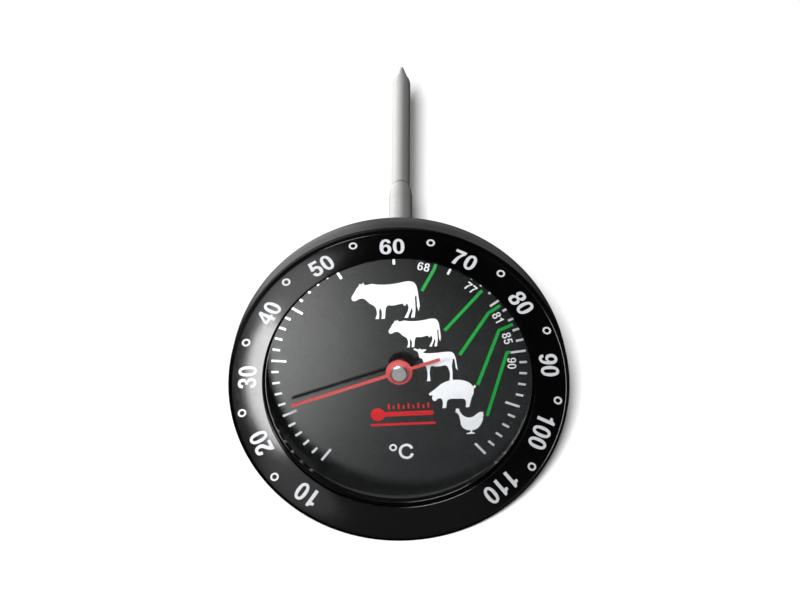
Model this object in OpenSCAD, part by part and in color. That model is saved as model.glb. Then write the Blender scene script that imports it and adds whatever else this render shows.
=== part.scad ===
// Dial meat thermometer: a round head with a bimetal movement, and a probe in two steps.
// The probe lies along +Y, the dial faces -Y, and the top of the dial is towards +Z.
// The origin is on the probe's axis, where the bare probe leaves the collar.
// Inside the modules, z is the depth behind the front of the bezel, and -y is the dial's top.

/* [Bezel and case] */
// Outer diameter of the bezel
head_d = 72; // [68:1:84]
// Depth of the head, from the bezel's front to the back of the case
head_depth = 17; // [16.5:0.5:20]
// Diameter of the inner edge of the number ring
ring_inner_d = 57.7; // [57.3:0.1:58.1]
// Depth that the number ring's face falls towards the dial
ring_fall = 1.8; // [1.4:0.05:2.2]
// Height of the bezel's black side
bezel_side = 1.6; // [1.4:0.1:2]
// Wall of the rear case
case_wall = 1.2; // [1:0.1:1.3]
// Width of the rear case's rounded back edge, seen from behind
case_corner = 10; // [8:0.5:10.5]
// Depth of the rear case's rounded back edge, seen from the side
case_drop = 12.5; // [11:0.5:12.5]

/* [Dial and lens] */
// Depth of the lens's front face
lens_depth = 5; // [4.6:0.1:5.2]
// Thickness of the lens
lens_t = 1.5; // [1:0.1:1.5]
// Depth of the dial's printed face
dial_depth = 10.6; // [10.4:0.1:11]
// Thickness of the dial plate
dial_t = 0.6; // [0.4:0.1:0.8]

/* [Pointer and scale] */
// Temperature shown at rest, in degrees C
rest_temp = 22; // [10:1:110]
// Temperature at the top of the dial, in degrees C
top_temp = 60; // [50:1:70]
// Turn of the pointer for one degree C
turn_per_deg = 2.8; // [2.4:0.05:3]
// Length of the needle, from the axis to its tip
needle_l = 24.6; // [22:0.1:25.4]
// Length of the needle's tail
tail_l = 9.2; // [6:0.1:12]
// Width of the needle
needle_w = 0.65; // [0.5:0.05:1]
// Depth of the needle's front face
needle_depth = 8.1; // [7.9:0.1:8.6]

/* [Probe] */
// Diameter of the thin stem
stem_d = 4; // [3.8:0.1:4.6]
// Diameter of the sleeve over the stem
sleeve_d = 5.1; // [5:0.1:5.6]
// Length of the bare probe, from the collar to the point
probe_l = 150; // [140:1:170]
// Length of the sleeve beyond the collar
sleeve_l = 80; // [60:1:90]
// Length of the sleeve's rounded shoulder
shoulder_l = 7; // [3:0.2:8]
// Length of the cone at the point
point_l = 6.6; // [5:0.2:9]
// Turns of the bimetal strip
coil_turns = 18; // [10:1:24]

/* [Hidden] */
$fn = 96;

// Gap between pieces that only pass into each other
slip = 0.05;

// Bezel
head_r = head_d / 2;
ring_outer_r = head_r - 0.6;
ring_inner_r = ring_inner_d / 2;
lip_r = ring_inner_r - 0.75;
lip_depth = ring_fall + 1.1;
skirt_r = head_r - 1.7;
skirt_wall = 1.4;
skirt_depth = 6;
bead_depth = 4.6;
bead_h = 0.3;

// Lens, gasket, spacer and dial stand in one pocket behind the bezel's lip
pocket_r = ring_inner_r + 1.85;
pocket_wall = 1.5;
pocket_end = 8;
gasket_wall = 2.05;
spacer_wall = 0.9;
gasket_t = 0.8;
lens_bevel = 0.2;
spacer_depth = lens_depth + lens_t + gasket_t;
dial_hole_r = 2.2;
dial_back = dial_depth + dial_t;

// Rear case
case_gasket_t = 0.3;
case_front = bezel_side + case_gasket_t;
case_r = head_r - 0.3;
case_lip = 0.2;
case_lip_h = 0.6;
case_floor = head_depth - case_wall;

// Dial carrier
carrier_t = 0.8;
carrier_r = case_r - case_corner - 0.5;
carrier_windows = 6;

// Collar, its seal, washer and nut
seal_t = 0.5;
flange_t = 1.5;
flange_r = 7;
hub_l = 7;
hub_r = 5;
hub_end_r = 3.8;
spigot_r = 4;
spigot_front = 12.4;
washer_t = 0.6;
washer_r = 6.8;
nut_t = 2.4;
nut_across_corners = 12.7;
collar_front = head_depth + seal_t;
collar_back = collar_front + flange_t + hub_l;
sleeve_front = collar_back - 6;
sleeve_spigot_r = sleeve_d / 2 - 0.25;

// Probe
stem_r = stem_d / 2;
stem_bore_r = stem_r - 0.3;
sleeve_r = sleeve_d / 2;
stem_front = 12;
tip_depth = collar_back + probe_l;
cone_base_r = 0.73 * stem_r;
cone_end_r = 0.45;
swell_l = 3.6;
tip_front = tip_depth - point_l - swell_l - 2;
tip_spigot_l = 3;

// Movement
shaft_r = 0.45;
shaft_play = 0.04;
bush_l = 3;
bush_flange_t = 0.6;
boss_r = 1;
strip_t = 0.15;
strip_w = 1;
boss_l = 2.5;
anchor_plug_l = 1.5;
anchor_front = tip_front - tip_spigot_l - anchor_plug_l - boss_l;
coil_front = anchor_front - 34;
guide_depths = [60, coil_front - 6];
coil_collar_front = coil_front - 2.6;
coil_steps_per_turn = 14;

// Pointer
needle_t = 0.35;
ring_r = 2.8;
cap_r = 1.8;
cap_h = 1.1;
hub_shank_r = 0.9;
hub_back = needle_depth + 1.6;
shaft_front = needle_depth - 0.5;
rest_turn = (rest_temp - top_temp) * turn_per_deg;

// Points of an arc round [x, y], from angle a0 to angle a1
function arc(x, y, r, a0, a1, steps = 6) =
    [for (i = [0:steps]) let (a = a0 + (a1 - a0) * i / steps) [x + r * cos(a), y + r * sin(a)]];

// Turns depth into +Y and sets the origin at the collar's end
module in_frame() {
    translate([0, -collar_back, 0]) rotate([-90, 0, 0]) children();
}

// A plain ring between two radii and two depths
module ring(inner_r, outer_r, front, back) {
    rotate_extrude() translate([inner_r, front]) square([outer_r - inner_r, back - front]);
}

// Half section of a disc whose back edge is rounded as a quarter of an ellipse
module cup_section(r, front, back, corner, drop) {
    steps = 20;
    polygon(concat(
        [[0, front], [r, front]],
        [for (i = [0:steps]) let (a = 90 * i / steps)
            [r - corner + corner * cos(a), back - drop + drop * sin(a)]],
        [[0, back]]
    ));
}

// One turned bearing with a flat flange at its front when flange is above 0
module bush(front, length, flange) {
    rotate_extrude() {
        translate([shaft_r + shaft_play, front])
            square([stem_bore_r - slip - shaft_r - shaft_play, length]);
        if (flange > 0)
            translate([shaft_r + shaft_play, front - flange])
                square([stem_r - shaft_r - shaft_play, flange]);
    }
}

// Black ring with the sloping number face, the inner lip, the lens pocket and the snap skirt
module bezel_ring() {
    crest = 0.15;
    edge = 0.5;
    skirt_inner = skirt_r - skirt_wall;
    pocket_outer = pocket_r + pocket_wall;
    web_depth = 3.6;
    color("#141416") in_frame() rotate_extrude() polygon(concat(
        arc(ring_outer_r - crest, crest, crest, 250, 315, 3),
        arc(head_r - edge, edge + 0.1, edge, -35, 0, 4),
        [[head_r, bezel_side - 0.3], [head_r - 0.3, bezel_side], [skirt_r, bezel_side]],
        [[skirt_r, bead_depth - 0.5], [skirt_r + bead_h, bead_depth - 0.15]],
        [[skirt_r + bead_h, bead_depth + 0.15], [skirt_r, bead_depth + 0.5]],
        [[skirt_r, skirt_depth - 0.3], [skirt_r - 0.3, skirt_depth], [skirt_inner, skirt_depth]],
        [[skirt_inner, web_depth], [pocket_outer, web_depth], [pocket_outer, pocket_end]],
        [[pocket_r, pocket_end], [pocket_r, lens_depth], [lip_r, lens_depth]],
        arc(lip_r + 0.1, lip_depth + 0.1, 0.1, 180, 270, 3),
        [[ring_inner_r - 0.1, lip_depth]],
        arc(ring_inner_r + 0.15, ring_fall + 0.1, 0.2, 185, 250, 4)
    ));
}

// Flat glass disc with bevelled edges
module front_lens() {
    r = pocket_r - slip;
    color("#dfe8ea", 0.25) in_frame() rotate_extrude() polygon([
        [0, lens_depth], [r - lens_bevel, lens_depth], [r, lens_depth + lens_bevel],
        [r, lens_depth + lens_t - lens_bevel], [r - lens_bevel, lens_depth + lens_t],
        [0, lens_depth + lens_t]
    ]);
}

// Soft ring behind the glass
module lens_gasket() {
    color("#202020") in_frame()
        ring(pocket_r - gasket_wall, pocket_r - slip, lens_depth + lens_t, spacer_depth);
}

// Black ring that keeps the glass off the dial
module spacer_ring() {
    color("#1a1a1c") in_frame()
        ring(pocket_r - spacer_wall, pocket_r - slip, spacer_depth, dial_depth);
}

// Printed metal dial with a hole for the shaft and a locating notch at its foot
module dial_plate() {
    r = pocket_r - slip;
    color("#3a3c3e") in_frame() difference() {
        translate([0, 0, dial_depth]) cylinder(r = r, h = dial_t);
        translate([0, 0, dial_depth - 1]) cylinder(r = dial_hole_r, h = dial_t + 2);
        translate([-1, r - 0.8, dial_depth - 1]) cube([2, 2, dial_t + 2]);
    }
}

// Stamped ring that stands on the floor of the case and carries the dial's edge
module dial_carrier() {
    wall_r = carrier_r - carrier_t;
    color("#b9bcc0") in_frame() difference() {
        union() {
            ring(wall_r, pocket_r - slip, dial_back, dial_back + carrier_t);
            ring(wall_r, carrier_r, dial_back, case_floor);
        }
        for (i = [0:carrier_windows - 1])
            rotate(i * 360 / carrier_windows)
                translate([wall_r - 1, -5, dial_back + 1.6])
                    cube([3, 10, case_floor - dial_back - 2.8]);
    }
}

// Dark metal cup with a rounded back, a lip at its rim and a groove for the bezel's bead
module rear_case() {
    inner_r = case_r - case_wall;
    groove_r = skirt_r + bead_h + 0.15;
    color("#45474a") in_frame() rotate_extrude() difference() {
        union() {
            cup_section(case_r, case_front, head_depth, case_corner, case_drop);
            translate([0, case_front]) square([case_r + case_lip, case_lip_h]);
        }
        cup_section(inner_r, case_front - 1, case_floor,
            case_corner - case_wall, case_drop - case_wall);
        polygon([
            [inner_r - 1, bead_depth - 0.7], [inner_r, bead_depth - 0.7],
            [groove_r, bead_depth - 0.25], [groove_r, bead_depth + 0.25],
            [inner_r, bead_depth + 0.7], [inner_r - 1, bead_depth + 0.7]
        ]);
        square([spigot_r + slip, head_depth + 1]);
    }
}

// Flat seal between the bezel and the rim of the case
module case_gasket() {
    color("#202020") in_frame() ring(skirt_r + slip, case_r - 0.3, bezel_side, case_front);
}

// Turned collar outside the case, with its spigot through the case's floor
module stem_collar() {
    back = collar_back;
    neck = collar_front + flange_t;
    color("#c4c7ca") in_frame() rotate_extrude() polygon(concat(
        [[stem_r + slip, spigot_front], [spigot_r - 0.3, spigot_front]],
        [[spigot_r, spigot_front + 0.3], [spigot_r, collar_front]],
        [[flange_r, collar_front]],
        arc(flange_r - 0.5, neck - 0.5, 0.5, 0, 90, 4),
        arc(hub_r + 0.8, neck + 0.8, 0.8, 270, 180, 4),
        [[hub_end_r + 0.4, back - 2.6]],
        arc(hub_end_r - 0.4, back - 0.6, 0.6, 30, 90, 4),
        [[sleeve_spigot_r + slip, back], [sleeve_spigot_r + slip, sleeve_front]],
        [[stem_r + slip, sleeve_front]]
    ));
}

// Soft washer that seals the hole in the case
module collar_seal() {
    color("#2b2b2b") in_frame() ring(spigot_r + slip, flange_r - 0.3, head_depth, collar_front);
}

// Thin steel washer under the nut
module lock_washer() {
    color("#c9ccd0") in_frame() ring(spigot_r + slip, washer_r, case_floor - washer_t, case_floor);
}

// Hexagon nut that clamps the collar to the case
module stem_nut() {
    back = case_floor - washer_t;
    color("#c9a24a") in_frame() difference() {
        translate([0, 0, back - nut_t]) cylinder(d = nut_across_corners, h = nut_t, $fn = 6);
        translate([0, 0, back - nut_t - 1]) cylinder(r = spigot_r + slip, h = nut_t + 2);
    }
}

// Thin steel tube from the head to the point
module stem_tube() {
    color("#c8cbce") in_frame() ring(stem_bore_r, stem_r, stem_front, tip_front);
}

// Thicker steel tube over the first part of the stem, with a spigot for the collar at its
// near end and a dome at its far end
module stem_sleeve() {
    wall = sleeve_r - stem_r - slip;
    dome_front = collar_back + sleeve_l - shoulder_l;
    dome_steps = 10;
    color("#c8cbce") in_frame() rotate_extrude() polygon(concat(
        [[stem_r + slip, sleeve_front], [sleeve_spigot_r, sleeve_front]],
        [[sleeve_spigot_r, collar_back], [sleeve_r, collar_back]],
        [for (i = [0:dome_steps - 1]) let (a = 90 * i / dome_steps)
            [stem_r + slip + wall * cos(a), dome_front + shoulder_l * sin(a)]],
        [[stem_r + slip, dome_front + shoulder_l]]
    ));
}

// Solid point, pressed into the tube
module stem_tip() {
    cone_front = tip_depth - point_l;
    swell_steps = 6;
    color("#c8cbce") in_frame() rotate_extrude() polygon(concat(
        [[0, tip_front - tip_spigot_l], [stem_bore_r - slip, tip_front - tip_spigot_l]],
        [[stem_bore_r - slip, tip_front], [stem_r, tip_front]],
        [for (i = [0:swell_steps]) let (t = i / swell_steps)
            [stem_r - (stem_r - cone_base_r) * t * t, cone_front - swell_l * (1 - t)]],
        arc(0, tip_depth - cone_end_r, cone_end_r, 15, 90, 4)
    ));
}

// Flanged bearing in the front end of the stem
module front_bush() {
    color("#c9a24a") in_frame() bush(stem_front, bush_l, bush_flange_t);
}

// Two plain bearings that guide the shaft inside the stem
module guide_bushes() {
    color("#c9a24a") in_frame() for (depth = guide_depths) bush(depth, bush_l, 0);
}

// Plug that holds the far end of the bimetal strip
module coil_anchor() {
    plug_front = anchor_front + boss_l;
    color("#c9a24a") in_frame() {
        translate([0, 0, anchor_front]) cylinder(r = boss_r, h = boss_l);
        translate([0, 0, plug_front]) cylinder(r = stem_bore_r - slip, h = anchor_plug_l);
    }
}

// Bimetal strip wound as a screw between the moving collar and the anchor
module bimetal_coil() {
    inner = boss_r + slip;
    outer = inner + strip_t;
    rise = anchor_front + boss_l - slip - strip_w - coil_front;
    steps = coil_turns * coil_steps_per_turn;
    section = [[inner, 0], [outer, 0], [outer, strip_w], [inner, strip_w]];
    points = [
        for (i = [0:steps], p = section)
            let (a = i * 360 / coil_steps_per_turn)
            [p[0] * cos(a), p[0] * sin(a), coil_front + rise * i / steps + p[1]]
    ];
    sides = [
        for (i = [0:steps - 1], k = [0:3])
            let (a = 4 * i + k, b = 4 * i + (k + 1) % 4)
            [a, b, b + 4, a + 4]
    ];
    ends = [[3, 2, 1, 0], [for (k = [0:3]) 4 * steps + k]];
    color("#b08d57") in_frame() polyhedron(points = points, faces = concat(sides, ends));
}

// Red needle with its round eye
module pointer_needle() {
    half = needle_w / 2;
    color("#d8232a") in_frame() rotate(rest_turn) translate([0, 0, needle_depth])
        linear_extrude(needle_t) difference() {
            union() {
                circle(ring_r);
                polygon(concat(
                    arc(0, tail_l - half, half, 0, 180, 8),
                    [[-half, -needle_l], [half, -needle_l + needle_w]]
                ));
            }
            circle(hub_shank_r + slip);
        }
}

// Bright turned hub that grips the needle and the shaft
module pointer_hub() {
    front = needle_depth - cap_h;
    dimple_r = 0.3;
    dimple_depth = 0.15;
    color("#d5d7d9") in_frame() rotate_extrude() polygon([
        [0, front + dimple_depth], [dimple_r, front + dimple_depth], [dimple_r, front],
        [cap_r - 0.25, front], [cap_r, front + 0.25], [cap_r, needle_depth],
        [hub_shank_r, needle_depth], [hub_shank_r, hub_back], [shaft_r, hub_back],
        [shaft_r, shaft_front], [0, shaft_front]
    ]);
}

// Thin rod from the bimetal coil to the needle
module pointer_shaft() {
    color("#c8cbce") in_frame() translate([0, 0, shaft_front])
        cylinder(r = shaft_r, h = coil_collar_front - shaft_front);
}

// Collar on the shaft's far end, inside the first turn of the bimetal strip
module coil_collar() {
    flange = coil_front - slip - coil_collar_front;
    color("#c9a24a") in_frame() {
        translate([0, 0, coil_collar_front]) cylinder(r = boss_r + strip_t, h = flange);
        translate([0, 0, coil_collar_front + flange]) cylinder(r = boss_r, h = boss_l);
    }
}

bezel_ring();
front_lens();
lens_gasket();
spacer_ring();
dial_plate();
dial_carrier();
rear_case();
case_gasket();
stem_collar();
collar_seal();
lock_washer();
stem_nut();
stem_tube();
stem_sleeve();
stem_tip();
front_bush();
guide_bushes();
coil_anchor();
bimetal_coil();
pointer_needle();
pointer_hub();
pointer_shaft();
coil_collar();
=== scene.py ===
"""Looks for the dial meat thermometer: camera, light, inks on the dial and ring, and materials."""

import math

import bmesh
import bpy
from mathutils import Matrix, Vector
from mathutils.geometry import tessellate_polygon


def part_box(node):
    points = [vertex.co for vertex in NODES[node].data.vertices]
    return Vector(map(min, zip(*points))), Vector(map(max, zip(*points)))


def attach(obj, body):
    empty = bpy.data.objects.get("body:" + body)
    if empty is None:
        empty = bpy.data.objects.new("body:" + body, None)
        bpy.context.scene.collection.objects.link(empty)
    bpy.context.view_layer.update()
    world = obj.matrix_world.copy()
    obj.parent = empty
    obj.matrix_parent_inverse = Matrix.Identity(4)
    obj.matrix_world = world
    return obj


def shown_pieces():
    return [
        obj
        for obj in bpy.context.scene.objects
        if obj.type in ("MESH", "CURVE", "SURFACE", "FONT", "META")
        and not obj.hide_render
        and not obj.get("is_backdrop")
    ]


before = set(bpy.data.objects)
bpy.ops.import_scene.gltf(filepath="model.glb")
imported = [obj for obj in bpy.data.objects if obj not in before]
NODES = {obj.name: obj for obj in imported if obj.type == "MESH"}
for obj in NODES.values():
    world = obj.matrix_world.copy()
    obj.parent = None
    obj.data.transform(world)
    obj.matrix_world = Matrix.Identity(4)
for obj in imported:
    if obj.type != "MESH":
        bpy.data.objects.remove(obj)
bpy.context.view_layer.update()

MM = 0.001

# ---------------------------------------------------------------- places from the CAD

RING_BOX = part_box("bezel_ring")
DIAL_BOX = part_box("dial_plate")
FRONT_Y = RING_BOX[0].y
DIAL_Y = DIAL_BOX[0].y
FLOOR_Z = RING_BOX[0].z
# Where the sloping number face begins, and how far it falls for each unit inward
RING_OUTER = RING_BOX[1].x - 0.8 * MM
RING_SLOPE = 0.2716
# The radius at the middle of the number face, and how fast its shading falls off either side
RING_MIDDLE = 32.0 * MM
CROWN = 9
# Where the sleeve stops, and how far past it the steel is darkened with painted shade for the shadow in
# the joint
SLEEVE_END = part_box("stem_sleeve")[1].y
JOINT_SHADE_WIDTH = 1.0 * MM

# The temperature at the dial's top, and degrees of turn for each degree C
TOP_TEMP = 60
TURN_PER_DEG = 2.8

# Printed marks, in mm
INK_PROUD = 0.035
INK_SUNK = 0.01
MARK_HALF_WIDTH = 0.25
MARK_OUTER = 27.1
LONG_MARK_INNER = 23.9
SHORT_MARK_INNER = 25.5
DOT_PLACE = 33.7
DOT_OUTER = 0.9
DOT_HOLE = 0.5
NUMBER_HEIGHT = 3.8
NUMBER_PLACE = 32.0
SMALL_HEIGHT = 1.9
SMALL_PLACE = 23.9
SMALL_THIN = 1.5
GUIDE_WIDTH = 0.68


# ---------------------------------------------------------------- flat outlines

def smooth(points, steps=6):
    """A closed line through the points: curved, but with a corner where a point has a third number."""
    spots = [Vector(p[:2]) for p in points]
    corner = [len(p) > 2 for p in points]
    count = len(points)
    line = []
    for i in range(count):
        j = (i + 1) % count
        a = spots[i]
        b = spots[j]
        span = (b - a).length
        leave = b - a if corner[i] else (b - spots[i - 1]).normalized() * span
        arrive = b - a if corner[j] else (spots[(j + 1) % count] - a).normalized() * span
        parts = 1 if corner[i] and corner[j] else steps
        for k in range(parts):
            t = k / parts
            line.append(
                a * (2 * t**3 - 3 * t**2 + 1)
                + leave * (t**3 - 2 * t**2 + t)
                + b * (3 * t**2 - 2 * t**3)
                + arrive * (t**3 - t**2)
            )
    return line


def inset(line, amount):
    """The same line moved sideways, to make a glyph lighter. It is moved to the left of its direction."""
    count = len(line)
    moved = []
    for i in range(count):
        before = (line[i] - line[i - 1]).normalized()
        after = (line[(i + 1) % count] - line[i]).normalized()
        side = Vector((-before.y - after.y, before.x + after.x))
        if side.length < 1e-6:
            moved.append(line[i].copy())
            continue
        side.normalize()
        lean = max(0.4, side.dot(Vector((-before.y, before.x))))
        moved.append(line[i] + side * amount / lean)
    return moved


def area_of(line):
    """Signed area: above 0 when the line runs counter-clockwise."""
    total = 0.0
    for i, p in enumerate(line):
        q = line[(i + 1) % len(line)]
        total += p.x * q.y - q.x * p.y
    return total / 2


def arc(x, y, r, start, end, steps=10):
    """Points of a round arc; angles in degrees, counter-clockwise from +x."""
    turned = [math.radians(start + (end - start) * i / steps) for i in range(steps + 1)]
    return [Vector((x + r * math.cos(a), y + r * math.sin(a))) for a in turned]


def circle(x, y, r, steps=28):
    return arc(x, y, r, 0, 360, steps)[:-1]


def bar(x0, y0, x1, y1):
    return [Vector((x0, y0)), Vector((x1, y0)), Vector((x1, y1)), Vector((x0, y1))]


def ribbon(points, width):
    """The outline of a bent line of even width, with mitred corners and square ends."""
    path = [Vector(p) for p in points]
    left = []
    right = []
    for i, p in enumerate(path):
        before = (p - path[i - 1]).normalized() if i else None
        after = (path[i + 1] - p).normalized() if i + 1 < len(path) else None
        before = before or after
        after = after or before
        side = Vector((-before.y - after.y, before.x + after.x)).normalized()
        reach = width / 2 / side.dot(Vector((-before.y, before.x)))
        left.append(p + side * reach)
        right.append(p - side * reach)
    return left + right[::-1]


# ---------------------------------------------------------------- figures, 100 units high

SIX = [
    [(62, 74, 1), (55, 93), (34, 101), (10, 88), (0, 49), (7, 12), (32, -1), (57, 9), (64, 33),
     (56, 56), (37, 65), (27, 62), (20, 53, 1), (21.5, 72), (26, 82), (34, 85.5), (41, 82),
     (44, 74, 1)],
    [(32, 50.5), (41, 45.5), (44.5, 33), (41, 20), (32, 14.5), (23.5, 20), (20, 33), (23.5, 45.5)],
]
GLYPHS = {
    "0": [
        [(32, 101), (55, 88), (64, 50), (55, 12), (32, -1), (9, 12), (0, 50), (9, 88)],
        [(32, 85), (41.5, 77), (44, 50), (41.5, 23), (32, 15), (22.5, 23), (20, 50), (22.5, 77)],
    ],
    "1": [
        [(25, 0, 1), (45, 0, 1), (45, 101, 1), (30, 101, 1), (25, 91), (17, 84.5), (6, 82, 1),
         (6, 67, 1), (25, 67, 1)],
    ],
    "2": [
        [(0, 0, 1), (63, 0, 1), (63, 17.5, 1), (28, 17.5, 1), (38, 29), (54, 43), (62, 56),
         (63, 70), (54, 93), (33, 101), (10, 93), (2, 68, 1), (21, 66, 1), (24, 80), (33, 84.5),
         (41, 80), (43, 70), (38, 57), (22, 41), (6, 23)],
    ],
    "3": [
        [(2, 73, 1), (9, 93), (31, 101), (53, 94), (61, 75), (57, 61), (47, 53), (59, 45),
         (64, 29), (55, 7), (31, -1), (8, 7), (0, 30, 1), (19, 31, 1), (23, 19.5), (32, 15),
         (41, 19), (44, 29), (40, 40), (31, 44), (24, 44, 1), (24, 59, 1), (32, 59.5),
         (39, 64), (41, 72), (38, 81.5), (31, 85), (24, 81), (20.5, 71, 1)],
    ],
    "4": [
        [(38, 0, 1), (57, 0, 1), (57, 22, 1), (66, 22, 1), (66, 38, 1), (57, 38, 1),
         (57, 100, 1), (40, 100, 1), (0, 41, 1), (0, 22, 1), (38, 22, 1)],
        [(38, 38, 1), (38, 74, 1), (15, 38, 1)],
    ],
    "5": [
        [(11, 100, 1), (59, 100, 1), (59, 83, 1), (26, 83, 1), (23.5, 63, 1), (34, 66.5),
         (55, 57), (64, 33), (55, 8), (31, -1), (9, 6), (0, 27, 1), (19.5, 29, 1), (24, 18.5),
         (32, 15), (41, 20), (44.5, 33), (41, 45), (32, 50.5), (25, 48.5), (20, 43, 1),
         (3, 45, 1)],
    ],
    "6": SIX,
    "7": [
        [(2, 100, 1), (63, 100, 1), (63, 84, 1), (48, 64), (38, 38), (34, 0, 1), (13, 0, 1),
         (18, 31), (28, 59), (43, 82, 1), (2, 82, 1)],
    ],
    "8": [
        [(32, 101), (54, 94), (62, 74), (58, 61), (49, 53.5), (60, 44), (64, 28), (55, 6),
         (32, -1), (9, 6), (0, 28), (4, 44), (15, 53.5), (6, 61), (2, 74), (10, 94)],
        [(32, 85.5), (39.5, 82), (42, 73), (39.5, 64), (32, 60), (24.5, 64), (22, 73), (24.5, 82)],
        [(32, 45), (41, 41), (44.5, 30), (41, 18.5), (32, 14.5), (23, 18.5), (19.5, 30), (23, 41)],
    ],
    "9": [[(64 - p[0], 100 - p[1], *p[2:]) for p in loop] for loop in SIX],
}
LETTER_C = [
    (93, 70, 1), (80, 91), (51, 101), (15, 87), (0, 50), (15, 13), (51, -1), (80, 9), (94, 31, 1),
    (77, 36, 1), (68, 21), (50, 15), (27, 24), (17, 50), (27, 76), (50, 85), (67, 79), (76, 65, 1),
]
GLYPH_WIDTH = 64
GLYPH_STEP = 73


def glyph_loops(loops, thin=0):
    """Outline and holes of a glyph as smooth lines, made lighter by thin."""
    made = []
    for n, points in enumerate(loops):
        line = smooth(points)
        outward = area_of(line) > 0
        if outward != (n == 0):
            line.reverse()
        made.append(inset(line, thin) if thin else line)
    return made


def figures(text, height, radius, turn, thin=0):
    """Figures in mm, centred at that radius and turned with the dial, tops outward."""
    scale = height / 100
    width = (len(text) - 1) * GLYPH_STEP + GLYPH_WIDTH
    a = math.radians(turn)
    along = Vector((math.cos(a), -math.sin(a)))
    out = Vector((math.sin(a), math.cos(a)))
    shapes = []
    for n, char in enumerate(text):
        loops = []
        for line in glyph_loops(GLYPHS[char], thin):
            loops.append([
                along * (p.x + n * GLYPH_STEP - width / 2) * scale
                + out * (radius + (p.y - 50) * scale)
                for p in line
            ])
        shapes.append(loops)
    return shapes


# ---------------------------------------------------------------- animal pictures
# Plain silhouettes from listed points, facing left: about 100 units wide, feet at 0.

CATTLE = [
    (0, 36), (1.5, 31.5), (6, 31), (12, 34), (18, 34), (23, 30), (27, 25.5), (32, 22.5),
    (35.5, 18), (37, 9), (35.5, 3.5), (34, 0, 1), (39.4, 0, 1), (40, 5), (40.3, 12),
    (41.8, 19, 1), (44.2, 12), (44, 5), (43.2, 0, 1), (48.4, 0, 1), (49, 5), (50, 14),
    (53, 21), (62, 21), (72, 23), (76, 23.5), (78, 20.5), (80, 20), (81.5, 23), (83.5, 22),
    (84.6, 16), (82.5, 9), (79.5, 3.5), (78, 0, 1), (83.2, 0, 1), (84.6, 5), (87, 10),
    (88.4, 17, 1), (90.4, 11), (88.8, 4.5), (87.8, 0, 1), (93, 0, 1), (93.6, 5), (94.8, 12),
    (95, 24), (96.2, 36), (97.4, 27), (97.6, 18), (99.4, 10, 1), (101.4, 19), (100.6, 30),
    (99.4, 42), (97.6, 52), (93, 58), (84, 59.5), (70, 57), (55, 55.5), (40, 56), (31, 57.5),
    (24, 56), (20, 56.5), (18.6, 60.5, 1), (16.6, 57, 1), (13, 58.6, 1), (11.6, 55), (8.4, 51),
    (4.4, 44),
]
CALF = [
    (0, 82, 1), (4.5, 83.5), (10, 80.5), (14.5, 82.5), (19, 80), (25, 80.5), (30.5, 79, 1),
    (26, 75.5), (22.6, 73), (27, 70.5), (34, 70), (50, 70), (68, 71.5), (84, 71.5), (91, 68),
    (95, 60), (97.6, 46), (98.6, 34), (100, 24, 1), (95.8, 31), (94.4, 44), (91.4, 54),
    (88.8, 46), (86.6, 36), (87.6, 25), (87, 9), (87.4, 0, 1), (79.6, 0, 1), (81, 7),
    (81.2, 20), (78.4, 31), (72, 38), (60, 36.5), (48, 36.5), (39, 37), (36, 30), (35, 18),
    (35.6, 6), (35.8, 0, 1), (27.8, 0, 1), (29.6, 8), (30, 22), (27.4, 36), (22.4, 46),
    (20, 56), (17, 58), (13.6, 60.5), (11.6, 68), (9.6, 75), (4, 78.5),
]
PIG = [
    (0, 35, 1), (2.4, 30, 1), (8, 30.5), (6.6, 24.5), (9.4, 18.6), (14, 17.8), (18.6, 22),
    (24.6, 23), (28.6, 19), (29.4, 9), (27.8, 0, 1), (35.8, 0, 1), (37, 8), (39, 17),
    (46, 21), (58, 20.5), (70, 20.5), (77, 18), (79, 10), (77.8, 0, 1), (85.6, 0, 1),
    (88, 10), (91.6, 22), (96, 32), (96.8, 42), (99.6, 44.6), (101.6, 49), (98.4, 51.6, 1),
    (97.6, 48, 1), (94.6, 49.6), (88, 57), (75, 63), (58, 65), (41, 62.5), (27, 56), (17, 47.5),
    (12, 43.5), (5, 38.5),
]
HEN = [
    (0, 87, 1), (3.4, 90.5), (3, 96), (7, 100), (10.6, 97.6), (14.4, 98), (15, 93), (17.4, 86),
    (24, 75), (34, 66.6), (48, 62.5), (62, 65.5), (74, 74), (86, 82), (99, 82, 1), (97.4, 74, 1),
    (100, 69, 1), (96, 63), (97, 56), (92, 43), (85, 30), (75, 20), (64, 15), (57.4, 13),
    (56.4, 7), (66, 3, 1), (66, 0, 1), (37, 0, 1), (37, 3, 1), (50.4, 7), (50, 13), (40, 15.5),
    (27, 23), (19.6, 35), (17.4, 50), (15.4, 64), (11.6, 76), (6, 82.6),
]
# Outline, left end, foot and width in mm
ANIMALS = {
    "cattle_mark": (CATTLE, -9.3, 11.5, 14.1),
    "young_cattle_mark": (CATTLE, -1.8, 4.65, 10.8),
    "calf_mark": (CALF, 3.2, -3.35, 9.2),
    "pig_mark": (PIG, 6.0, -9.75, 9.9),
    "hen_mark": (HEN, 11.4, -16.0, 6.05),
}
# Bent lines from each animal to its place on the scale, in mm
GUIDES = [
    [(5.6, 17.55), (8.3, 22.2), (9.15, 24.3)],
    [(10.0, 8.2), (18.3, 17.1)],
    [(12.95, 2.4), (19.45, 11.85), (22.0, 13.45)],
    [(16.45, -4.7), (21.5, 7.75), (24.5, 9.0)],
    [(18.15, -12.0), (22.95, 2.5), (23.7, 2.62)],
]
# Reading and turn from the dial's top of each small figure
MEAT_TEMPS = [("68", 15.1), ("77", 41.8), ("81", 63.7), ("85", 75.9), ("90", 90.0)]


# ---------------------------------------------------------------- thin printed pieces

def on_dial(x, z, proud):
    """A point in mm on the dial's printed face, lifted by proud mm."""
    return Vector((x * MM, DIAL_Y - proud * MM, z * MM))


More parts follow.
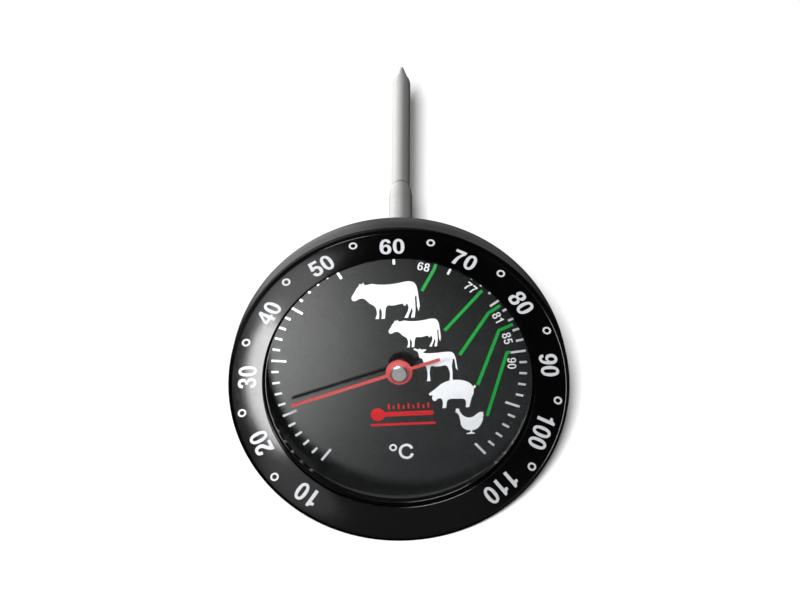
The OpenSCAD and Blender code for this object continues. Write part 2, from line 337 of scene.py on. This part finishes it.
def on_ring(x, z, proud):
    """A point in mm on the sloping face of the number ring."""
    r = math.hypot(x, z) * MM
    fall = (RING_OUTER - r) * RING_SLOPE
    return Vector((x * MM, FRONT_Y + fall - proud * MM, z * MM))


def add_shape(bm, loops, lay):
    """One closed thin plate: the first loop is its outline, and the others are holes."""
    flat = [p for line in loops for p in line]
    front = [bm.verts.new(lay(p.x, p.y, INK_PROUD)) for p in flat]
    back = [bm.verts.new(lay(p.x, p.y, -INK_SUNK)) for p in flat]
    for tri in tessellate_polygon([[p.to_3d() for p in line] for line in loops]):
        bm.faces.new([front[i] for i in tri])
        bm.faces.new([back[i] for i in reversed(tri)])
    first = 0
    for line in loops:
        size = len(line)
        for i in range(size):
            a = first + i
            b = first + (i + 1) % size
            bm.faces.new([front[a], back[a], back[b], front[b]])
        first += size


def printed(name, shapes, lay, ink):
    """Printed marks as a thin piece that rides on the head."""
    bm = bmesh.new()
    for loops in shapes:
        add_shape(bm, loops, lay)
    bmesh.ops.recalc_face_normals(bm, faces=bm.faces)
    mesh = bpy.data.meshes.new(name)
    bm.to_mesh(mesh)
    bm.free()
    mesh.materials.append(ink)
    piece = bpy.data.objects.new(name, mesh)
    bpy.context.scene.collection.objects.link(piece)
    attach(piece, "head")


# ---------------------------------------------------------------- materials

class Nodes:
    """A small wrapper that makes shader nodes and links."""

    def __init__(self, name):
        self.material = bpy.data.materials.new(name)
        self.material.use_nodes = True
        self.tree = self.material.node_tree
        self.shader = self.tree.nodes["Principled BSDF"]
        self.where = self.tree.nodes.new("ShaderNodeTexCoord").outputs["Object"]

    def link(self, source, socket):
        self.tree.links.new(source, socket)

    def math(self, kind, a, b=0.0):
        node = self.tree.nodes.new("ShaderNodeMath")
        node.operation = kind
        for socket, value in zip(node.inputs, (a, b)):
            if isinstance(value, (int, float)):
                socket.default_value = value
            else:
                self.link(value, socket)
        return node.outputs[0]

    def vector(self, kind, a, b=None):
        node = self.tree.nodes.new("ShaderNodeVectorMath")
        node.operation = kind
        self.link(a, node.inputs[0])
        if isinstance(b, tuple):
            node.inputs[1].default_value = b
        elif b is not None:
            self.link(b, node.inputs[1])
        return node

    def depth(self):
        """Depth along the probe."""
        parts = self.tree.nodes.new("ShaderNodeSeparateXYZ")
        self.link(self.where, parts.inputs[0])
        return parts.outputs[1]

    def radius(self):
        """Distance from the probe's axis."""
        flat = self.vector("MULTIPLY", self.where, (1, 0, 1)).outputs[0]
        return self.vector("LENGTH", flat).outputs["Value"]

    def stretched(self, x, y, z):
        """The object's own coordinates, multiplied."""
        return self.vector("MULTIPLY", self.where, (x, y, z)).outputs[0]

    def turned(self, radial, along):
        """Coordinates that stay the same round the probe's axis: radius, then depth."""
        both = self.tree.nodes.new("ShaderNodeCombineXYZ")
        self.link(self.math("MULTIPLY", self.radius(), radial), both.inputs[0])
        self.link(self.math("MULTIPLY", self.depth(), along), both.inputs[1])
        return both.outputs[0]

    def noise(self, coords, scale=1.0, detail=3.0, rough=0.5):
        node = self.tree.nodes.new("ShaderNodeTexNoise")
        self.link(coords, node.inputs["Vector"])
        node.inputs["Scale"].default_value = scale
        node.inputs["Detail"].default_value = detail
        node.inputs["Roughness"].default_value = rough
        return node.outputs[0]

    def ramp(self, value, stops):
        """A ramp from (place, number or colour) stops."""
        node = self.tree.nodes.new("ShaderNodeValToRGB")
        line = node.color_ramp
        while len(line.elements) < len(stops):
            line.elements.new(0.5)
        for element, (place, shade) in zip(line.elements, stops):
            element.position = place
            element.color = (*shade, 1) if isinstance(shade, tuple) else (shade, shade, shade, 1)
        self.link(value, node.inputs[0])
        return node.outputs[0]

    def set(self, **values):
        for name, value in values.items():
            self.shader.inputs[name.replace("_", " ")].default_value = value

    def bump(self, height, distance, strength=1.0, under=None):
        node = self.tree.nodes.new("ShaderNodeBump")
        node.inputs["Distance"].default_value = distance
        node.inputs["Strength"].default_value = strength
        self.link(height, node.inputs["Height"])
        if under is not None:
            self.link(under, node.inputs["Normal"])
        return node.outputs[0]


def bezel_black():
    """Polished black moulding: a faint orange peel, dust haze and hairline scratches."""
    m = Nodes("bezel_black")
    cloud = m.noise(m.where, 70, 4)
    m.link(m.ramp(cloud, [(0.3, (0.0004, 0.0004, 0.0005)), (0.7, (0.001, 0.001, 0.0011))]),
           m.shader.inputs["Base Color"])
    hair = m.noise(m.turned(9000, 900), 1.0, 2)
    dust = m.noise(m.where, 900, 6, 0.7)
    rough = m.math("ADD", m.ramp(hair, [(0.55, 0.0), (0.75, 0.05)]),
                   m.ramp(dust, [(0.35, 0.12), (0.75, 0.17)]))
    m.link(rough, m.shader.inputs["Roughness"])
    peel = m.noise(m.where, 420, 2)
    # The face is shaded as slightly crowned: its height falls with the square of this distance
    off = m.math("SUBTRACT", m.radius(), RING_MIDDLE)
    crown = m.bump(m.math("MULTIPLY", m.math("MULTIPLY", off, off), -CROWN), 1.0)
    m.link(m.bump(peel, 0.00002, 0.12, crown), m.shader.inputs["Normal"])
    return m.material


def clear_glass():
    """Clear pressed glass. Its piece casts no shadow, so that the lamps reach the dial."""
    m = Nodes("clear_glass")
    tint = m.noise(m.where, 40, 2)
    m.link(m.ramp(tint, [(0.3, (0.97, 0.985, 0.98)), (0.7, (0.985, 0.99, 0.99))]),
           m.shader.inputs["Base Color"])
    m.set(Roughness=0.0, IOR=1.5, Transmission_Weight=1.0, Specular_IOR_Level=0.35)
    return m.material


def rubber(name, shade):
    """Matte silicone: fine pores and a bloom of paler dust."""
    m = Nodes(name)
    bloom = m.noise(m.where, 300, 5, 0.6)
    m.link(m.ramp(bloom, [(0.35, (shade,) * 3), (0.8, (shade * 2.2,) * 3)]),
           m.shader.inputs["Base Color"])
    m.link(m.ramp(bloom, [(0.3, 0.62), (0.8, 0.85)]), m.shader.inputs["Roughness"])
    pores = m.noise(m.where, 6000, 3)
    m.link(m.bump(pores, 0.00003, 0.5), m.shader.inputs["Normal"])
    return m.material


def matte_plastic(name, shade):
    """Spark-eroded moulding: a fine even grain with slightly shiny peaks."""
    m = Nodes(name)
    cloud = m.noise(m.where, 120, 3)
    m.link(m.ramp(cloud, [(0.3, (shade,) * 3), (0.7, (shade * 1.5,) * 3)]),
           m.shader.inputs["Base Color"])
    grain = m.noise(m.where, 4500, 4, 0.6)
    m.link(m.ramp(grain, [(0.35, 0.6), (0.7, 0.8)]), m.shader.inputs["Roughness"])
    m.link(m.bump(grain, 0.00004, 0.5), m.shader.inputs["Normal"])
    m.set(Specular_IOR_Level=0.2)
    return m.material


def dial_grey():
    """Satin dark lacquer on the dial: a fine metallic grain and small dust specks."""
    m = Nodes("dial_grey")
    flake = m.noise(m.where, 9000, 2)
    cloud = m.noise(m.where, 90, 3)
    shade = m.math("ADD", m.math("MULTIPLY", flake, 0.012), m.math("MULTIPLY", cloud, 0.01))
    m.link(m.ramp(shade, [(0.006, (0.011, 0.0115, 0.012)), (0.016, (0.016, 0.0165, 0.017))]),
           m.shader.inputs["Base Color"])
    m.link(m.ramp(flake, [(0.35, 0.2), (0.7, 0.24)]), m.shader.inputs["Roughness"])
    m.link(m.bump(flake, 0.000003, 0.3), m.shader.inputs["Normal"])
    return m.material


def case_grey():
    """Satin dark grey enamel on pressed steel: orange peel, dust and a fine grain."""
    m = Nodes("case_grey")
    cloud = m.noise(m.where, 60, 4)
    speck = m.noise(m.where, 5200, 2)
    m.link(m.ramp(cloud, [(0.3, (0.011, 0.0115, 0.012)), (0.7, (0.016, 0.0165, 0.017))]),
           m.shader.inputs["Base Color"])
    m.link(m.ramp(speck, [(0.35, 0.3), (0.7, 0.42)]), m.shader.inputs["Roughness"])
    peel = m.bump(m.noise(m.where, 700, 2), 0.00003, 0.25)
    m.link(m.bump(speck, 0.00001, 0.35, peel), m.shader.inputs["Normal"])
    return m.material


def turned_metal(name, deep, pale, low, high, radial=9000, along=9000, depth=0.000006):
    """Metal with the fine rings that turning or grinding leaves, in colour, gloss and bump."""
    m = Nodes(name)
    rings = m.noise(m.turned(radial, along), 1.0, 4, 0.65)
    cloud = m.noise(m.where, 260, 3)
    both = m.math("ADD", m.math("MULTIPLY", rings, 0.6), m.math("MULTIPLY", cloud, 0.4))
    m.link(m.ramp(both, [(0.32, deep), (0.68, pale)]), m.shader.inputs["Base Color"])
    m.link(m.ramp(rings, [(0.3, low), (0.7, high)]), m.shader.inputs["Roughness"])
    m.link(m.bump(rings, depth, 0.6), m.shader.inputs["Normal"])
    m.set(Metallic=1.0)
    return m.material


def seam_steel():
    """The tube's steel, with painted shade just past the sleeve for the shadow in the joint."""
    m = Nodes("stainless_painted_joint_shade")
    rings = m.noise(m.turned(9000, 7000), 1.0, 4, 0.65)
    past = m.math("DIVIDE", m.math("SUBTRACT", m.depth(), SLEEVE_END), JOINT_SHADE_WIDTH)
    ragged = m.math("ADD", past, m.math("MULTIPLY", m.noise(m.where, 2500, 3), 0.3))
    # Painted shade: the steel's colour is cut to 0.12 just past the sleeve and rises to full over the
    # joint's width
    painted_joint_shade = m.ramp(ragged, [(0.55, 0.12), (1.0, 1.0)])
    steel = m.ramp(rings, [(0.32, (0.5, 0.5, 0.49)), (0.68, (0.66, 0.66, 0.65))])
    m.link(m.vector("MULTIPLY", painted_joint_shade, steel).outputs[0], m.shader.inputs["Base Color"])
    m.link(m.ramp(rings, [(0.3, 0.52), (0.7, 0.6)]), m.shader.inputs["Roughness"])
    m.link(m.bump(rings, 0.000002, 0.6), m.shader.inputs["Normal"])
    m.set(Metallic=1.0)
    return m.material


def rolled_metal(name, deep, pale, low, high):
    """Rolled or plated sheet: streaks along one way and a mottled sheen."""
    m = Nodes(name)
    streak = m.noise(m.stretched(600, 9000, 9000), 1.0, 4)
    mottle = m.noise(m.where, 500, 5, 0.6)
    both = m.math("ADD", m.math("MULTIPLY", streak, 0.5), m.math("MULTIPLY", mottle, 0.5))
    m.link(m.ramp(both, [(0.35, deep), (0.65, pale)]), m.shader.inputs["Base Color"])
    m.link(m.ramp(mottle, [(0.3, low), (0.75, high)]), m.shader.inputs["Roughness"])
    m.link(m.bump(streak, 0.000006, 0.5), m.shader.inputs["Normal"])
    m.set(Metallic=1.0)
    return m.material


def lacquer(name, deep, pale, low, high):
    """Thin coloured lacquer or ink: uneven cover, a slight grain and a soft shine."""
    m = Nodes(name)
    cover = m.noise(m.where, 2600, 4, 0.6)
    m.link(m.ramp(cover, [(0.25, deep), (0.7, pale)]), m.shader.inputs["Base Color"])
    m.link(m.ramp(cover, [(0.3, low), (0.7, high)]), m.shader.inputs["Roughness"])
    m.link(m.bump(m.noise(m.where, 12000, 2), 0.000004, 0.4), m.shader.inputs["Normal"])
    return m.material


INK_WHITE = lacquer("print_white", (0.78, 0.8, 0.84), (0.88, 0.89, 0.92), 0.38, 0.5)
# A shaded copy of the white ink: the ring's numbers are painted darker than the dial's to stand for less
# light on them
INK_RING_SHADED = lacquer("ring_white_shaded", (0.58, 0.595, 0.625), (0.66, 0.67, 0.69), 0.38, 0.5)
INK_GREEN = lacquer("print_green", (0.004, 0.28, 0.035), (0.008, 0.36, 0.05), 0.38, 0.5)
INK_RED = lacquer("print_red", (0.5, 0.016, 0.019), (0.62, 0.024, 0.028), 0.38, 0.5)
RUBBER = rubber("soft_seal", 0.014)
STEEL = turned_metal("stainless", (0.5, 0.5, 0.49), (0.66, 0.66, 0.65), 0.52, 0.6, 9000, 7000, 0.000002)
BRASS = turned_metal("brass", (0.56, 0.38, 0.15), (0.76, 0.57, 0.27), 0.2, 0.36)
PLATED = rolled_metal("plated_steel", (0.5, 0.51, 0.53), (0.68, 0.69, 0.7), 0.24, 0.42)
FINISHES = {
    "bezel_ring": bezel_black(),
    "front_lens": clear_glass(),
    "lens_gasket": RUBBER,
    "case_gasket": RUBBER,
    "collar_seal": RUBBER,
    "spacer_ring": matte_plastic("spacer_black", 0.012),
    "dial_plate": dial_grey(),
    "dial_carrier": PLATED,
    "lock_washer": PLATED,
    "rear_case": case_grey(),
    "stem_collar": STEEL,
    "stem_tube": seam_steel(),
    "stem_sleeve": STEEL,
    "stem_tip": STEEL,
    "pointer_shaft": STEEL,
    "stem_nut": BRASS,
    "front_bush": BRASS,
    "guide_bushes": BRASS,
    "coil_anchor": BRASS,
    "coil_collar": BRASS,
    "bimetal_coil": rolled_metal("bimetal", (0.4, 0.33, 0.24), (0.62, 0.53, 0.4), 0.25, 0.45),
    "pointer_needle": lacquer("needle_red", (0.4, 0.062, 0.062), (0.5, 0.085, 0.085), 0.3, 0.42),
    "pointer_hub": turned_metal("hub_bright", (0.52, 0.53, 0.54), (0.78, 0.79, 0.8), 0.22, 0.4),
}


def dress(node, finish):
    """Puts a finish in every material slot of a CAD node."""
    mesh = NODES[node].data
    if not mesh.materials:
        mesh.materials.append(finish)
    for n in range(len(mesh.materials)):
        mesh.materials[n] = finish


for node_name, finish in FINISHES.items():
    dress(node_name, finish)
NODES["front_lens"].visible_shadow = False


# ---------------------------------------------------------------- the prints

def turn_of(temp):
    """Turn in degrees, clockwise from the dial's top, of a temperature on the scale."""
    return (temp - TOP_TEMP) * TURN_PER_DEG


def scale_marks():
    """A short mark every 2 degrees C, and a long one every 10."""
    shapes = []
    for temp in range(10, 111, 2):
        a = math.radians(turn_of(temp))
        out = Vector((math.sin(a), math.cos(a)))
        side = Vector((math.cos(a), -math.sin(a))) * MARK_HALF_WIDTH
        near = out * (LONG_MARK_INNER if temp % 10 == 0 else SHORT_MARK_INNER)
        far = out * MARK_OUTER
        shapes.append([[near - side, far - side, far + side, near + side]])
    return shapes


def ring_dots():
    """The small open circles halfway between the ring's numbers."""
    shapes = []
    for temp in range(15, 106, 10):
        a = math.radians(turn_of(temp))
        x = DOT_PLACE * math.sin(a)
        z = DOT_PLACE * math.cos(a)
        shapes.append([circle(x, z, DOT_OUTER), circle(x, z, DOT_HOLE)])
    return shapes


def picture(outline, left, foot, width):
    """One animal picture, scaled to its width in mm and put at its left end and foot."""
    scale = width / 100
    return [[Vector((left, foot)) + p * scale for p in smooth(outline, 5)]]


def thermometer_mark():
    """A plain lying thermometer: bulb, tube, marks and a base line."""
    tube_r = 0.52
    bulb_r = 1.5
    bulb_x = -5.0
    tip_x = 6.4
    middle_z = -10.7
    lean = math.degrees(math.asin(tube_r / bulb_r))
    outline = arc(bulb_x, middle_z, bulb_r, lean, 360 - lean, 30)
    outline += arc(tip_x, middle_z, tube_r, -90, 90, 10)
    shapes = [[outline]]
    first_x = -2.6
    step = 1.05
    foot = -9.55
    half_width = 0.2
    for n in range(9):
        x = first_x + n * step
        top = -8.3 if n % 2 == 0 else -8.75
        shapes.append([bar(x - half_width, foot, x + half_width, top)])
    shapes.append([bar(-6.6, -13.35, 7.2, -12.8)])
    return shapes


def degree_mark():
    """A small ring and the letter C."""
    corner = Vector((-0.95, -21.25))
    letter = [corner + Vector((p.x * 0.0335, p.y * 0.035)) for p in smooth(LETTER_C)]
    ring_x = -2.1
    ring_z = -18.5
    return [[circle(ring_x, ring_z, 0.82), circle(ring_x, ring_z, 0.45)], [letter]]


def make_prints():
    """Every printed mark, each kind as its own piece."""
    ring = []
    for temp in range(10, 111, 10):
        ring += figures(str(temp), NUMBER_HEIGHT, NUMBER_PLACE, turn_of(temp))
    small = []
    for text, turn in MEAT_TEMPS:
        small += figures(text, SMALL_HEIGHT, SMALL_PLACE, turn, SMALL_THIN)
    printed("ring_numbers", ring, on_ring, INK_RING_SHADED)
    printed("ring_dots", ring_dots(), on_ring, INK_RING_SHADED)
    printed("scale_marks", scale_marks(), on_dial, INK_WHITE)
    printed("meat_temperatures", small, on_dial, INK_WHITE)
    printed("degree_mark", degree_mark(), on_dial, INK_WHITE)
    for name, (outline, left, foot, width) in ANIMALS.items():
        printed(name, [picture(outline, left, foot, width)], on_dial, INK_WHITE)
    lines = [[ribbon(points, GUIDE_WIDTH)] for points in GUIDES]
    printed("guide_lines", lines, on_dial, INK_GREEN)
    printed("thermometer_mark", thermometer_mark(), on_dial, INK_RED)


make_prints()


# ---------------------------------------------------------------- camera

CAMERA_DISTANCE = 2.16
CAMERA_AZIMUTH = math.radians(0.2)
CAMERA_ELEVATION = math.radians(24.25)
CAMERA_ROLL = math.radians(2.6)
CAMERA_AIM = Vector((0.00023, 0, 0.0201))


def make_camera():
    """The photograph's view: from in front and above, far away, with a slight roll."""
    centre = Vector((0, FRONT_Y, 0))
    back = Vector((
        math.sin(CAMERA_AZIMUTH) * math.cos(CAMERA_ELEVATION),
        -math.cos(CAMERA_AZIMUTH) * math.cos(CAMERA_ELEVATION),
        math.sin(CAMERA_ELEVATION),
    ))
    place = centre + back * CAMERA_DISTANCE
    aim = centre + CAMERA_AIM
    data = bpy.data.cameras.new("camera")
    data.sensor_width = 36
    data.lens = 461
    data.clip_start = 0.1
    data.clip_end = 50
    camera = bpy.data.objects.new("camera", data)
    bpy.context.scene.collection.objects.link(camera)
    turn = (aim - place).to_track_quat("-Z", "Y").to_matrix().to_4x4()
    roll = Matrix.Rotation(CAMERA_ROLL, 4, "Y")
    camera.matrix_world = roll @ Matrix.Translation(place) @ turn
    bpy.context.scene.camera = camera


make_camera()


# ---------------------------------------------------------------- floor and light

FLOOR_HALF = 6.0


def make_floor():
    """A wide pale floor at the bezel's lowest point. It isn't seen in reflections or glass."""
    m = Nodes("floor_white")
    m.set(Base_Color=(0.86, 0.86, 0.86, 1), Roughness=0.9, Specular_IOR_Level=0.1)
    m.set(Emission_Color=(1, 1, 1, 1), Emission_Strength=0.03)
    mesh = bpy.data.meshes.new("floor")
    corners = [(-1, -1), (1, -1), (1, 1), (-1, 1)]
    spots = [(x * FLOOR_HALF, y * FLOOR_HALF, FLOOR_Z) for x, y in corners]
    mesh.from_pydata(spots, [], [(0, 1, 2, 3)])
    mesh.materials.append(m.material)
    floor = bpy.data.objects.new("floor", mesh)
    bpy.context.scene.collection.objects.link(floor)
    floor.visible_glossy = False
    floor.visible_shadow = False
    floor.visible_transmission = False
    floor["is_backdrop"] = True
    return floor


def lamp(name, place, target, size, radiance, lit_pieces, high=0):
    """A soft area light for the named pieces only, hidden from the camera.

    Its place, target and sizes are in mm. It is round, or size wide and high tall.
    """
    data = bpy.data.lights.new(name, "AREA")
    data.size = size * MM
    if high:
        data.shape = "RECTANGLE"
        data.size_y = high * MM
        area = size * high * MM * MM
    else:
        data.shape = "DISK"
        area = (size * MM) ** 2 * math.pi / 4
    data.energy = radiance * area * math.pi
    light = bpy.data.objects.new(name, data)
    bpy.context.scene.collection.objects.link(light)
    light.location = Vector(place) * MM
    light.rotation_mode = "QUATERNION"
    light.rotation_quaternion = (Vector(target) - Vector(place)).to_track_quat("-Z", "Y")
    light.visible_camera = False
    lit = bpy.data.collections.new(name + "_lights")
    for piece in lit_pieces:
        lit.objects.link(piece)
    light.light_linking.receiver_collection = lit


def make_world():
    """Dark in front and below, brighter behind and towards the left, and white for the camera."""
    world = bpy.data.worlds.new("studio")
    world.use_nodes = True
    bpy.context.scene.world = world
    nodes = world.node_tree.nodes
    links = world.node_tree.links
    nodes.clear()
    where = nodes.new("ShaderNodeTexCoord").outputs["Generated"]

    def graded(direction, stops):
        facing = nodes.new("ShaderNodeVectorMath")
        facing.operation = "DOT_PRODUCT"
        facing.inputs[1].default_value = direction
        ramp = nodes.new("ShaderNodeValToRGB")
        ramp.color_ramp.interpolation = "EASE"
        while len(ramp.color_ramp.elements) < len(stops):
            ramp.color_ramp.elements.new(0.5)
        for element, (place, shade) in zip(ramp.color_ramp.elements, stops):
            element.position = place
            element.color = (shade, shade, shade, 1)
        links.new(where, facing.inputs[0])
        half = nodes.new("ShaderNodeMath")
        half.operation = "MULTIPLY_ADD"
        half.inputs[1].default_value = 0.5
        half.inputs[2].default_value = 0.5
        links.new(facing.outputs["Value"], half.inputs[0])
        links.new(half.outputs[0], ramp.inputs[0])
        return ramp.outputs[0]

    # A place on these ramps is (1 + the cosine towards the direction) / 2
    sideways = graded((-0.93, 0.36, 0), [(0.56, 0.008), (0.66, 0.08), (0.84, 0.3)])
    upwards = graded((0, 0, 1), [(0.36, 0.02), (0.44, 1.0)])
    both = nodes.new("ShaderNodeMath")
    both.operation = "MULTIPLY"
    links.new(sideways, both.inputs[0])
    links.new(upwards, both.inputs[1])
    around = nodes.new("ShaderNodeBackground")
    links.new(both.outputs[0], around.inputs[0])
    seen = nodes.new("ShaderNodeBackground")
    seen.inputs[0].default_value = (1, 1, 1, 1)
    path = nodes.new("ShaderNodeLightPath")
    mix = nodes.new("ShaderNodeMixShader")
    out = nodes.new("ShaderNodeOutputWorld")
    links.new(path.outputs["Is Camera Ray"], mix.inputs[0])
    links.new(around.outputs[0], mix.inputs[1])
    links.new(seen.outputs[0], mix.inputs[2])
    links.new(mix.outputs[0], out.inputs[0])


def make_lights(floor):
    """Lamps placed for the photograph's view; each lights only the pieces it is meant for."""
    pieces = [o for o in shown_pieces() if o != floor]
    named = {o.name: o for o in pieces}
    ring = [named["bezel_ring"]]
    ring_ink = [named[n] for n in ("ring_numbers", "ring_dots")]
    case = [named["rear_case"]]
    dial = [named["dial_plate"]]
    hub = [named["pointer_hub"]]
    scale = [named["scale_marks"]]
    inks = ["meat_temperatures", "degree_mark", "guide_lines", "thermometer_mark",
            "pointer_needle", *ANIMALS]
    dial_ink = [named[n] for n in inks]
    stem = [named[n] for n in ("stem_tube", "stem_sleeve", "stem_tip")]
    unprinted = [o for o in pieces if o not in ring_ink + dial_ink + scale]
    inside = [o for o in pieces if o not in ring_ink + ring + scale]
    lamp("key", (-500, -500, 1150), (0, 60, 0), 900, 12, unprinted)
    lamp("fill", (350, -900, 900), (0, 0, 0), 600, 3, inside)
    lamp("ring_softbox", (225, -350, -189), (-31, -26, 0), 150, 17, ring, 250)
    lamp("ring_low", (155, -490, -50), (-25, -26, -25), 160, 1, ring)
    lamp("ring_high", (125, -346, -330), (-25, -26, 25), 160, 2.4, ring)
    lamp("ring_front", (-30, -600, 60), (-30, -26, -20), 350, 0.15, ring)
    lamp("case_left", (-420, 1000, 200), (0, -10, 30), 600, 0.9, case, 700)
    lamp("case_right", (300, 1000, 260), (0, -10, 30), 800, 0.3, case, 640)
    lamp("dial_glow", (-48, -152, -50), (0, -15, 0), 45, 36, dial)
    lamp("dial_low", (-10, -152, -130), (0, -15, 0), 30, 2.5, dial)
    lamp("dial_ink_light", (-30, -54, 16), (-24, -15, 16), 20, 24, dial_ink)
    lamp("dial_ink_top", (10, -54, 27), (10, -15, 27), 20, 13.5, dial_ink)
    lamp("scale_light", (-15, -44, 20), (-15, -15, 20), 20, 31, scale)
    lamp("hub_light", (0, -118, -41), (0, -18, 0), 90, 2.7, hub)
    lamp("ring_ink_light", (-68, -72, -2), (-45, -26, 0), 30, 30, ring_ink)
    lamp("floor_light", (-28, -5520, 2660), (0, 60, 0), 370, 3200, [floor])
    lamp("stem_light", (-440, 1000, 30), (0, 80, 0), 600, 2.7, stem, 750)
    lamp("stem_top", (-60, 800, 500), (0, 80, 0), 300, 2.0, stem)
    lamp("stem_right", (700, 450, 550), (0, 80, 0), 500, 1.0, stem)


make_world()
make_lights(make_floor())
bpy.context.scene.view_settings.view_transform = "Standard"
